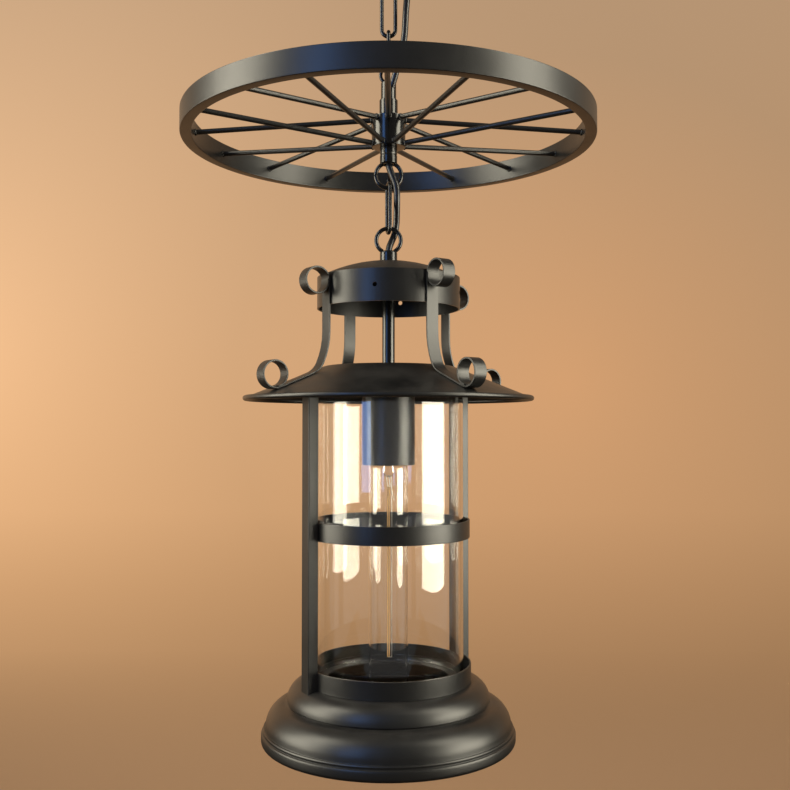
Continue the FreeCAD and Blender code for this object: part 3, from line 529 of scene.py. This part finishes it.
loop("lantern_ring", "lantern_loop", 28.0, 4.0, -313.4,
     [(5.0, -320.4), (8.5, -320.4), (8.5, -311.4), (7.2, -309.9), (5.0, -309.9), (5.0, -320.4)],
     window=((0, 0, -305.9), (0, 0, -322.0), NECK_BORE_R), holes=1)


# ---- wheel ----
WHEEL_R, RIM_INNER_R, WHEEL_Z = 200.0, 189.0, -193.0
HUB_R, HUB_TUBE_R, HUB_BORE_R = 16.5, 9.0, 5.0
HUB_TUBE_TOP, HUB_TOP, HUB_FOOT = -161.0, -178.0, -208.0
SPOKE_R, SPOKE_IN, SPOKE_OUT = 2.5, 16.2, 189.3
# The share of a spoke's rise at the hub that is left at the rim.
SPOKE_RISE = 0.029
WELD_R, WELD_IN, WELD_OUT = 0.9, 16.9, 188.7

stands_for(spun("iron_rim", band(WHEEL_R, RIM_INNER_R, WHEEL_Z - 11, WHEEL_Z + 11), edge=1.1, steps=256), "wheel_rim")
stands_for(spun("turned_hub", [
    (HUB_BORE_R, HUB_FOOT), (HUB_R, HUB_FOOT), (HUB_R, HUB_TOP), (HUB_TUBE_R, HUB_TOP), (HUB_TUBE_R, HUB_TUBE_TOP),
    (HUB_BORE_R, HUB_TUBE_TOP), (HUB_BORE_R, HUB_FOOT)], edge=0.9, steps=96), "hub_body")


def spokes(name, node, hub_z, first):
    """Eight rods from that height on the hub to nearly the rim's middle, with a weld bead at each end."""
    rods = []
    for index in range(8):
        azimuth = first + 45 * index
        inner = at(SPOKE_IN, azimuth, hub_z)
        outer = at(SPOKE_OUT, azimuth, WHEEL_Z + (hub_z - WHEEL_Z) * SPOKE_RISE)
        rods.append(rod("rod", inner, outer, SPOKE_R, 24))
        way = (Vector(outer) - Vector(inner)).to_track_quat("Z", "Y").to_euler()
        for radius in (WELD_IN, WELD_OUT):
            spot = Vector(inner).lerp(Vector(outer), (radius - SPOKE_IN) / (SPOKE_OUT - SPOKE_IN))
            rods.append(added(bpy.ops.mesh.primitive_torus_add, "bead", major_radius=SPOKE_R * MM,
                              minor_radius=WELD_R * MM, major_segments=24, minor_segments=8, location=spot * MM,
                              rotation=way))
    stands_for(joined(name, rods), node, smooth=50)


spokes("rods_to_hub_top", "upper_spokes", -181.0, 0)
spokes("rods_to_hub_foot", "lower_spokes", -205.0, 22.5)


# ---- lantern top ----
DOME_TOP = -320.4
COLLAR_R, COLLAR_INNER_R, COLLAR_TOP, COLLAR_FOOT = 69.3, 67.7, -336.9, -366.9
COLLAR_HOLE_Z, COLLAR_HOLE_R = -351.9, 2.1
POST_R, POST_INNER_R, POST_TOP = 6.1, 5.1, -326.1
ROOF_TOP, FLAT_R, SLOPE = -422.4, 62.0, math.atan2(31.5, 78.0)
ROOF_WALL, BEAD_R, BEAD_AT = 1.4, 2.5, 137.5


def dome(radius, low, high):
    """A shallow ball's outline, from its edge to the tube's hole."""
    rise = high - low
    ball = (radius ** 2 + rise ** 2) / (2 * rise)
    radii = (radius, 62, 54, 45, 36, 27, 18, 10, LOOP_HOLE_R)
    return [(r, high - ball + math.sqrt(ball ** 2 - r ** 2)) for r in radii]


def roof_height(radius):
    """The roof's upper face on its slope."""
    return ROOF_TOP - (radius - FLAT_R) * math.tan(SLOPE)


cap_line = [(COLLAR_INNER_R, COLLAR_TOP - 6)] + dome(COLLAR_INNER_R, COLLAR_TOP, DOME_TOP)
stands_for(spun("domed_cap", cap_line, SHEET, 0.5), "dome_cap")
collar = spun("screw_collar", band(COLLAR_R, COLLAR_INNER_R, COLLAR_FOOT, COLLAR_TOP), edge=0.0, steps=192)
for azimuth in (-10, 80, 170, 260):
    cut(collar, rod("bore", at(60, azimuth, COLLAR_HOLE_Z), at(75, azimuth, COLLAR_HOLE_Z), COLLAR_HOLE_R))
broken(collar, 0.35, 50)
stands_for(collar, "collar")
stands_for(spun("gallery_post", band(POST_R, POST_INNER_R, ROOF_TOP, POST_TOP), edge=0.2, steps=48), "spacer_tube")

under = ROOF_WALL / math.cos(SLOPE)
upper_face = [(5.0, ROOF_TOP), (FLAT_R - 2.5, ROOF_TOP), (FLAT_R, ROOF_TOP - 0.3),
              (FLAT_R + 2.5, roof_height(FLAT_R + 2.5) - 0.1), (100.0, roof_height(100.0)), (134.6, roof_height(134.6))]
rolled_rim = arc((BEAD_AT, roof_height(BEAD_AT) - 0.7), BEAD_R, 110, -195, 20)
lower_face = [(134.3, roof_height(134.3) - under), (100.0, roof_height(100.0) - under), (FLAT_R, ROOF_TOP - ROOF_WALL),
              (5.0, ROOF_TOP - ROOF_WALL), (5.0, ROOF_TOP)]
stands_for(spun("spun_roof", upper_face + rolled_rim + lower_face, edge=0.0, steps=192), "roof", smooth=32)


# ---- straps ----
STRAP_R, STRAP_WIDTH, STRAP_WALL = 70.3, 13.0, 1.7
# A scroll starts that wide, closes in by so much a turn, and is made in parts of so many degrees.
SCROLL_D, SCROLL_CLOSING, SCROLL_PART = 25.5, 2.6, 62
LOWER_SCROLL_R = 121.0


class Strip:
    """A strip's middle line on the +X side, by straight runs and bends."""

    def __init__(self, r, z, heading):
        self.points = [(r, 0, z)]
        self.heading = heading

    def run(self, length, turn=0.0):
        """A straight run, along the heading plus a turn."""
        angle = math.radians(self.heading + turn)
        r, _, z = self.points[-1]
        self.points.append((r + length * math.cos(angle), 0, z + length * math.sin(angle)))

    def bend(self, radius, degrees, steps=None):
        """A bend to the left, or to the right where degrees is negative."""
        steps = steps or max(2, round(abs(degrees) / 6))
        step = degrees / steps
        for _ in range(steps):
            self.run(2 * radius * math.sin(math.radians(abs(step)) / 2), step / 2)
            self.heading += step

    def scroll(self, side):
        """A curl of a little more than a turn that closes in, to the left with side 1 and the right with -1."""
        for index in range(6):
            diameter = SCROLL_D - SCROLL_CLOSING * SCROLL_PART * (index + 0.5) / 360
            self.bend(diameter / 2, side * SCROLL_PART, 10)

    def foot(self):
        """The two bends that bring the strap down onto the roof."""
        self.bend(70, 25)
        self.bend(20, 65 - math.degrees(SLOPE))


def strap(name, node, azimuth, top_drop):
    """A flat strap from a scroll at the collar down over the roof to a scroll near its rim."""
    start = COLLAR_TOP - top_drop
    upper = Strip(STRAP_R, start, 90)
    upper.scroll(-1)
    trial = Strip(STRAP_R, 0, -90)
    trial.foot()
    landing_r, _, landing_z = trial.points[-1]
    lower = Strip(STRAP_R, start, -90)
    lower.run(start - roof_height(landing_r) - 1.0 / math.cos(SLOPE) + landing_z)
    lower.foot()
    lower.run((LOWER_SCROLL_R - landing_r) / math.cos(SLOPE))
    lower.scroll(1)
    line = upper.points[::-1] + lower.points[1:]
    piece = drawn(name, [(r, -STRAP_WIDTH / 2, z) for r, _, z in line])
    bpy.ops.mesh.extrude_region_move(TRANSFORM_OT_translate={"value": (0, STRAP_WIDTH * MM, 0)})
    close_edit()
    thick(piece, STRAP_WALL, 0.0)
    broken(piece, 0.35, 50)
    turned_to(piece, azimuth)
    stands_for(piece, node)


for index, top_drop in enumerate((5.0, 13.0, 9.0, 9.0)):
    strap(f"scrolled_strap_{index + 1}", f"strap_{index + 1}", 35 + 90 * index, top_drop)


# ---- lamp ----
CUP_R, CUP_TOP, CUP_FOOT, CUP_CORNER = 25.5, -444.9, -517.6, 5.0
BULB_R, BULB_NECK_Z, BULB_TIP_Z = 18.8, -491.2, -753.4
FIL_TOP, FIL_LOW = -539.4, -701.4
STRAND_X, SIDE_WIRE_X = 0.75, 3.2

stands_for(spun("lamp_cup", [(CUP_R, CUP_FOOT), (CUP_R, CUP_TOP - CUP_CORNER)]
                + arc((CUP_R - CUP_CORNER, CUP_TOP - CUP_CORNER), CUP_CORNER, 0, 90)[1:] + [(LOOP_HOLE_R, CUP_TOP)],
                SHEET, 0.3, 96), "socket_cup")
softened("lampholder", 0.5)

bulb_outline = [(12.4, BULB_NECK_Z), (12.4, -499.6), (12.9, -503.0), (14.6, -509.0), (16.9, -515.0), (18.3, -519.6),
                (BULB_R, -524.0), (BULB_R, BULB_TIP_Z)] + arc((0.0, BULB_TIP_Z), BULB_R, 0, -90, 12)[1:]
stands_for(spun("tubular_bulb", bulb_outline, 0.8, 0.0, 96), "bulb_glass", smooth=60)

# The glass mount flares to the bulb's neck, and its lower end is pressed flat round the wires.
stem = spun("bulb_mount", [
    (0, BULB_NECK_Z), (11.5, BULB_NECK_Z), (11.5, -493.0), (8.0, -494.5), (5.0, -499.0), (4.2, -506.0), (4.2, -520.0),
    (4.6, -524.5), (3.4, -528.2), (1.6, -529.4), (0, -529.4)], edge=0.0, steps=48)
edit(stem)
pick(stem, lambda x, y, z: z < -516)
bpy.ops.transform.resize(value=(1.15, 0.5, 1), center_override=(0, 0, -522 * MM))
close_edit()
stands_for(stem, "bulb_stem", smooth=60)


def wires(name, node, runs, radius, sides=12):
    """Straight wires with round ends, in one piece."""
    made = []
    for start, end in runs:
        made.append(rod("wire", start, end, radius, sides))
        for spot in (start, end):
            made.append(added(bpy.ops.mesh.primitive_uv_sphere_add, "tip", segments=sides, ring_count=6,
                              radius=radius * MM, location=Vector(spot) * MM))
    stands_for(joined(name, made), node, smooth=60)


wires("filament_strands", "filament",
      [((x, 0, FIL_TOP), (x, 0, FIL_LOW)) for x in (-STRAND_X, STRAND_X)], 0.55)
wires("mount_wires", "filament_supports",
      [((-2.4, 0, -527.0), (-STRAND_X, 0, FIL_TOP)), ((0.9, 0, -528.0), (STRAND_X, 0, FIL_TOP)),
       ((2.4, 0, -527.5), (SIDE_WIRE_X, 0, -534.0)), ((SIDE_WIRE_X, 0, -534.0), (SIDE_WIRE_X, 0, FIL_LOW - 0.5)),
       ((SIDE_WIRE_X, 0, FIL_LOW - 0.5), (0, 0, FIL_LOW - 0.5)), ((-0.4, 1.2, -527.0), (5.6, 2.0, -552.0))], 0.35)


# ---- glass and its frame ----
GLASS_R, GLASS_INNER_R, GLASS_TOP, GLASS_FOOT = 72.0, 69.2, -436.9, -721.3
HOOP_R, HOOP_INNER_R, HOOP_TOP, HOOP_FOOT = 78.3, 76.3, -569.65, -586.75
LOWER_HOOP_R, LOWER_HOOP_INNER_R, LOWER_HOOP_TOP = 79.3, 77.5, -705.9
BASE_TOP, BASE_FOOT = -722.9, -778.9

stands_for(spun("drawn_glass", band(GLASS_R, GLASS_INNER_R, GLASS_FOOT, GLASS_TOP), edge=0.9, steps=192),
           "glass_cylinder", smooth=60)
stands_for(spun("middle_hoop", band(HOOP_R, HOOP_INNER_R, HOOP_FOOT, HOOP_TOP), edge=0.5, steps=192), "middle_band")
stands_for(spun("lower_hoop", band(LOWER_HOOP_R, LOWER_HOOP_INNER_R, BASE_TOP, LOWER_HOOP_TOP), edge=0.45, steps=192),
           "lower_cup")
stands_for(spun("glass_ledge", [
    (LOWER_HOOP_INNER_R, BASE_TOP), (LOWER_HOOP_INNER_R, GLASS_FOOT), (73.8, GLASS_FOOT), (73.8, -716.3),
    (72.4, -716.3), (72.4, GLASS_FOOT), (60.0, GLASS_FOOT), (60.0, BASE_TOP), (LOWER_HOOP_INNER_R, BASE_TOP)],
    edge=0.3, steps=192), "glass_seat")

foot_line = [(118.9, BASE_FOOT)] + arc((118.9, -775.6), (2.4, 3.3), -80, 0, 5) + [(121.3, -770.6), (120.6, -768.9)]
bead_line = [(119.4, -768.3), (119.2, -767.4), (119.5, -766.2), (118.9, -765.1), (117.5, -764.9)]
swell_low = arc((98.5, -764.4), (18.8, 21.0), 0, 84, 10)
cove_line = [(98.0, -743.3), (95.7, -742.0), (96.4, -740.9)]
swell_high = arc((80.3, -740.4), (16.7, 17.5), 0, 90, 10)
stands_for(spun("stepped_base", foot_line + bead_line + swell_low + cove_line + swell_high + [(66.0, BASE_TOP)],
                1.6, 0.0, 192), "base", smooth=38)
for index in (1, 2):
    softened(f"side_bar_{index}")


# ---- cable ----
CABLE_D = 6.4
UPPER_A = [(19.0, 0.0, -34.0), (19.0, 0.0, -50.0), (17.13, -3.57, -72.95)]
UPPER_B = [(17.13, -3.57, -72.95), (16.8, -4.2, -77.0), (15.6, -8.4, -104.0), (13.325, -8.595, -113.1)]
UPPER_C = [(13.325, -8.595, -113.1), (8.6, -9.0, -132.0), (2.867, -3.0, -150.0)]
LOWER_A = [(0.0, 0.0, -221.0), (0.0, 0.0, -226.5), (4.4, -3.6, -238.0), (8.0, -6.6, -248.5), (8.2, -5.6, -260.5),
           (8.1, -3.1, -266.5)]
LOWER_B = [(8.1, -3.1, -266.5), (8.0, -0.6, -272.5), (7.6, 4.8, -284.0), (5.6, 5.6, -293.5), (2.2, 2.6, -301.5),
           (0.0, 0.0, -308.0), (0.0, 0.0, -313.9)]


def smooth_line(name, points, radius):
    """Mesh of a NURBS line through space: a bare chain of points, or a round tube about it."""
    curve = bpy.data.curves.new(name, "CURVE")
    curve.dimensions = "3D"
    curve.resolution_u = 16
    curve.bevel_depth = radius * MM
    curve.bevel_resolution = 6
    curve.use_fill_caps = radius > 0
    spline = curve.splines.new("NURBS")
    spline.points.add(len(points) - 1)
    for point, spot in zip(spline.points, points):
        point.co = (*(c * MM for c in spot), 1)
    spline.order_u = 3
    spline.use_endpoint_u = True
    line = bpy.data.objects.new(name, curve)
    bpy.context.scene.collection.objects.link(line)
    bpy.context.view_layer.update()
    mesh = bpy.data.meshes.new_from_object(line)
    bpy.data.objects.remove(line)
    return mesh


def cable(name, points, replaced):
    """One stretch of cable that runs across the joint between two bodies, as a round tube along a smooth line."""
    path = [v.co.copy() for v in smooth_line("route", points, 0).vertices]
    mesh = smooth_line(name, points, CABLE_D / 2)
    mesh.shade_smooth()
    piece = bpy.data.objects.new(name, mesh)
    bpy.context.scene.collection.objects.link(piece)
    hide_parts(*replaced)
    wear(piece, SHEATH)
    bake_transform(piece)


cable("cable_stretch_1", UPPER_A, ["cable_upper"])
cable("cable_stretch_2", UPPER_B, [])
cable("cable_stretch_3", UPPER_C, [])
cable("cable_stretch_4", LOWER_A, ["cable_lower"])
cable("cable_stretch_5", LOWER_B, [])

for node, piece in nodes.items():
    if not piece.hide_render:
        wear(piece, material_of(node))


# ---- room, light and camera ----
FLOOR_Z, WALL_Y, WALL_TOP, COVE_R = -1.6, 2.1, 2.4, 0.5
FLOOR_FRONT_Y, ROOM_HALF = -3.0, 4.0
# Painted light on the wall: a broad painted pool of light to the left, a smaller one right of the middle, and a tone
# that is painted shade low down and painted light higher up.
PAINTED_LIGHT_POOL_AT, PAINTED_LIGHT_POOL_REACH = (-1.5, 2.1, -0.25), 2.6
SMALL_PAINTED_POOL_AT, SMALL_PAINTED_POOL_REACH = (0.55, 2.1, -0.35), 1.05
WALL_PAINTED_SHADE_TONE, WALL_PAINTED_LIGHT_TONE, WALL_SMALL_POOL_TONE = (1.0, 0.555, 0.262), (1.0, 0.65, 0.385), (1.0, 0.52, 0.24)
# The floor's own colour, and the nearly black colour that it shows only in reflections, which is painted shade.
FLOOR_PAINT, FLOOR_PAINTED_SHADE_IN_GLOSS = (0.6, 0.38, 0.22), (0.05, 0.04, 0.03)


def backdrop():
    """Floor and wall in one sheet with a round cove between them; the wall glows by itself with painted pools of light
    and painted shade low down, and the floor takes shadow and shows painted shade in reflections.
    """
    line = [(FLOOR_FRONT_Y, FLOOR_Z), (WALL_Y - COVE_R, FLOOR_Z)]
    line += [(WALL_Y - COVE_R + COVE_R * math.sin(a), FLOOR_Z + COVE_R - COVE_R * math.cos(a))
             for a in (math.radians(10 * k) for k in range(1, 10))]
    line += [(WALL_Y, WALL_TOP)]
    mesh = bpy.data.meshes.new("room")
    corners = [(x, y, z) for y, z in line for x in (-ROOM_HALF, ROOM_HALF)]
    mesh.from_pydata(corners, [], [(2 * k, 2 * k + 1, 2 * k + 3, 2 * k + 2) for k in range(len(line) - 1)])
    mesh.shade_smooth()
    sheet = bpy.data.objects.new("room", mesh)
    bpy.context.scene.collection.objects.link(sheet)

    f = Finish("wall_with_painted_light")
    height = f.node("ShaderNodeSeparateXYZ", Vector=f.place)["Z"]

    def near(spot, reach):
        """1 at the spot, down to 0 at its reach."""
        distance = f.node("ShaderNodeVectorMath", {"operation": "DISTANCE"}, s0=f.place, s1=spot)["Value"]
        return (1 - distance / reach).clamped()

    # Painted light: a broad pool and a smaller pool of light on the wall, and painted shade that darkens the wall
    # towards the floor.
    painted_light_pool, small_painted_pool = near(PAINTED_LIGHT_POOL_AT, PAINTED_LIGHT_POOL_REACH), near(SMALL_PAINTED_POOL_AT, SMALL_PAINTED_POOL_REACH)
    foot = ((height + 1.75) / 1.0).clamped()
    level = (0.47 + painted_light_pool * painted_light_pool * 0.51) * (0.52 + foot * 0.48) * (1 + small_painted_pool * 0.34)
    # Painted shade in the tone low on the wall, painted light in the tone higher up.
    tone = f.mix(((height + 1.0) / 2.2).clamped(), WALL_PAINTED_SHADE_TONE, WALL_PAINTED_LIGHT_TONE)
    # The smaller painted pool of light also shifts the tone towards a deeper orange.
    tone = f.mix(small_painted_pool * 0.8, tone, WALL_SMALL_POOL_TONE)
    lit = f.node("ShaderNodeEmission", Color=tone, Strength=level)["Emission"]

    path = f.node("ShaderNodeLightPath")
    # Painted shade: in reflections the floor shows a nearly black colour instead of its own.
    mirrored = (path["Is Glossy Ray"] - path["Is Transmission Ray"]).clamped()
    paint = f.node("ShaderNodeBsdfDiffuse", Color=f.mix(mirrored, FLOOR_PAINT, FLOOR_PAINTED_SHADE_IN_GLOSS))["BSDF"]
    seen = (path["Is Camera Ray"] + path["Is Glossy Ray"] + path["Is Transmission Ray"]).clamped()
    upright = ((height + 1.58) / 0.4).clamped()
    both = f.node("ShaderNodeMixShader", s0=seen * upright, s1=paint, s2=lit)["Shader"]
    sheet.data.materials.append(f.surface(both))


def softbox(name, azimuth, distance, height, wide, high, power, colour=(1, 1, 1), level=None, sheen=False):
    """An area lamp round the object in metres and watts, which faces the axis; one for sheen shows only in gloss."""
    light = bpy.data.lights.new(name, "AREA")
    light.shape = "RECTANGLE"
    light.size, light.size_y = wide, high
    light.energy = power
    light.color = colour
    lamp = bpy.data.objects.new(name, light)
    bpy.context.scene.collection.objects.link(lamp)
    lamp.location = at(distance, azimuth, height)
    middle = Vector((0, 0, height if level is None else level))
    lamp.rotation_euler = (middle - lamp.location).to_track_quat("-Z", "Y").to_euler()
    lamp.visible_camera = False
    lamp.visible_diffuse, lamp.visible_glossy = not sheen, sheen


def world(colour, strength, gloss):
    """Even light for paint, floor and glass, and a darker room in what gloss mirrors."""
    sky = bpy.data.worlds.new("room_light")
    bpy.context.scene.world = sky
    sky.use_nodes = True
    tree = sky.node_tree
    ground = tree.nodes["Background"]
    ground.inputs["Color"].default_value = (*colour, 1)
    path = tree.nodes.new("ShaderNodeLightPath")
    level = tree.nodes.new("ShaderNodeMix")
    level.inputs[2].default_value, level.inputs[3].default_value = strength, gloss
    mirrored = tree.nodes.new("ShaderNodeMath")
    mirrored.operation, mirrored.use_clamp = "SUBTRACT", True
    tree.links.new(path.outputs["Is Glossy Ray"], mirrored.inputs[0])
    tree.links.new(path.outputs["Is Transmission Ray"], mirrored.inputs[1])
    tree.links.new(mirrored.outputs[0], level.inputs[0])
    tree.links.new(level.outputs[0], ground.inputs["Strength"])


backdrop()
world((1.0, 0.97, 0.93), 0.45, 0.10)
WARM, BLUE = (1.0, 0.93, 0.74), (0.16, 0.40, 1.0)
softbox("window_left", -82, 1.6, 0.05, 1.3, 1.5, 16, WARM)
softbox("window_right", 75, 1.5, 0.05, 1.15, 1.5, 12, WARM)
softbox("window_left_low_sheen", -84, 1.6, -0.525, 1.1, 0.65, 19, WARM, sheen=True)
softbox("window_left_high_sheen", -80, 1.6, 0.75, 0.9, 1.9, 48, WARM, sheen=True)
softbox("window_right_low_sheen", 72, 1.5, -0.54, 1.12, 0.68, 26, WARM, sheen=True)
softbox("window_right_high_sheen", 72, 1.5, 0.75, 0.75, 1.9, 40, WARM, sheen=True)
softbox("evening_sky_sheen", -33, 1.7, 0.2, 0.42, 1.7, 10, BLUE, sheen=True)
softbox("front_top", -10, 1.6, 1.3, 1.4, 0.7, 7, level=-0.45)

# The camera that fits the photo: its focal length in pixels of a picture 790 wide.
FOCAL_PIXELS, PICTURE_PIXELS, SENSOR = 964.2, 790, 36
CAMERA_TILT = 0.032
camera_data = bpy.data.cameras.new("camera")
camera_data.lens = FOCAL_PIXELS / PICTURE_PIXELS * SENSOR
camera_data.sensor_width = SENSOR
camera = bpy.data.objects.new("camera", camera_data)
bpy.context.scene.collection.objects.link(camera)
camera.location = (0.0063, -0.9355, -0.480)
camera.rotation_euler = (math.pi / 2 + CAMERA_TILT, 0, 0)
bpy.context.scene.camera = camera
bpy.context.scene.view_settings.view_transform = "Standard"
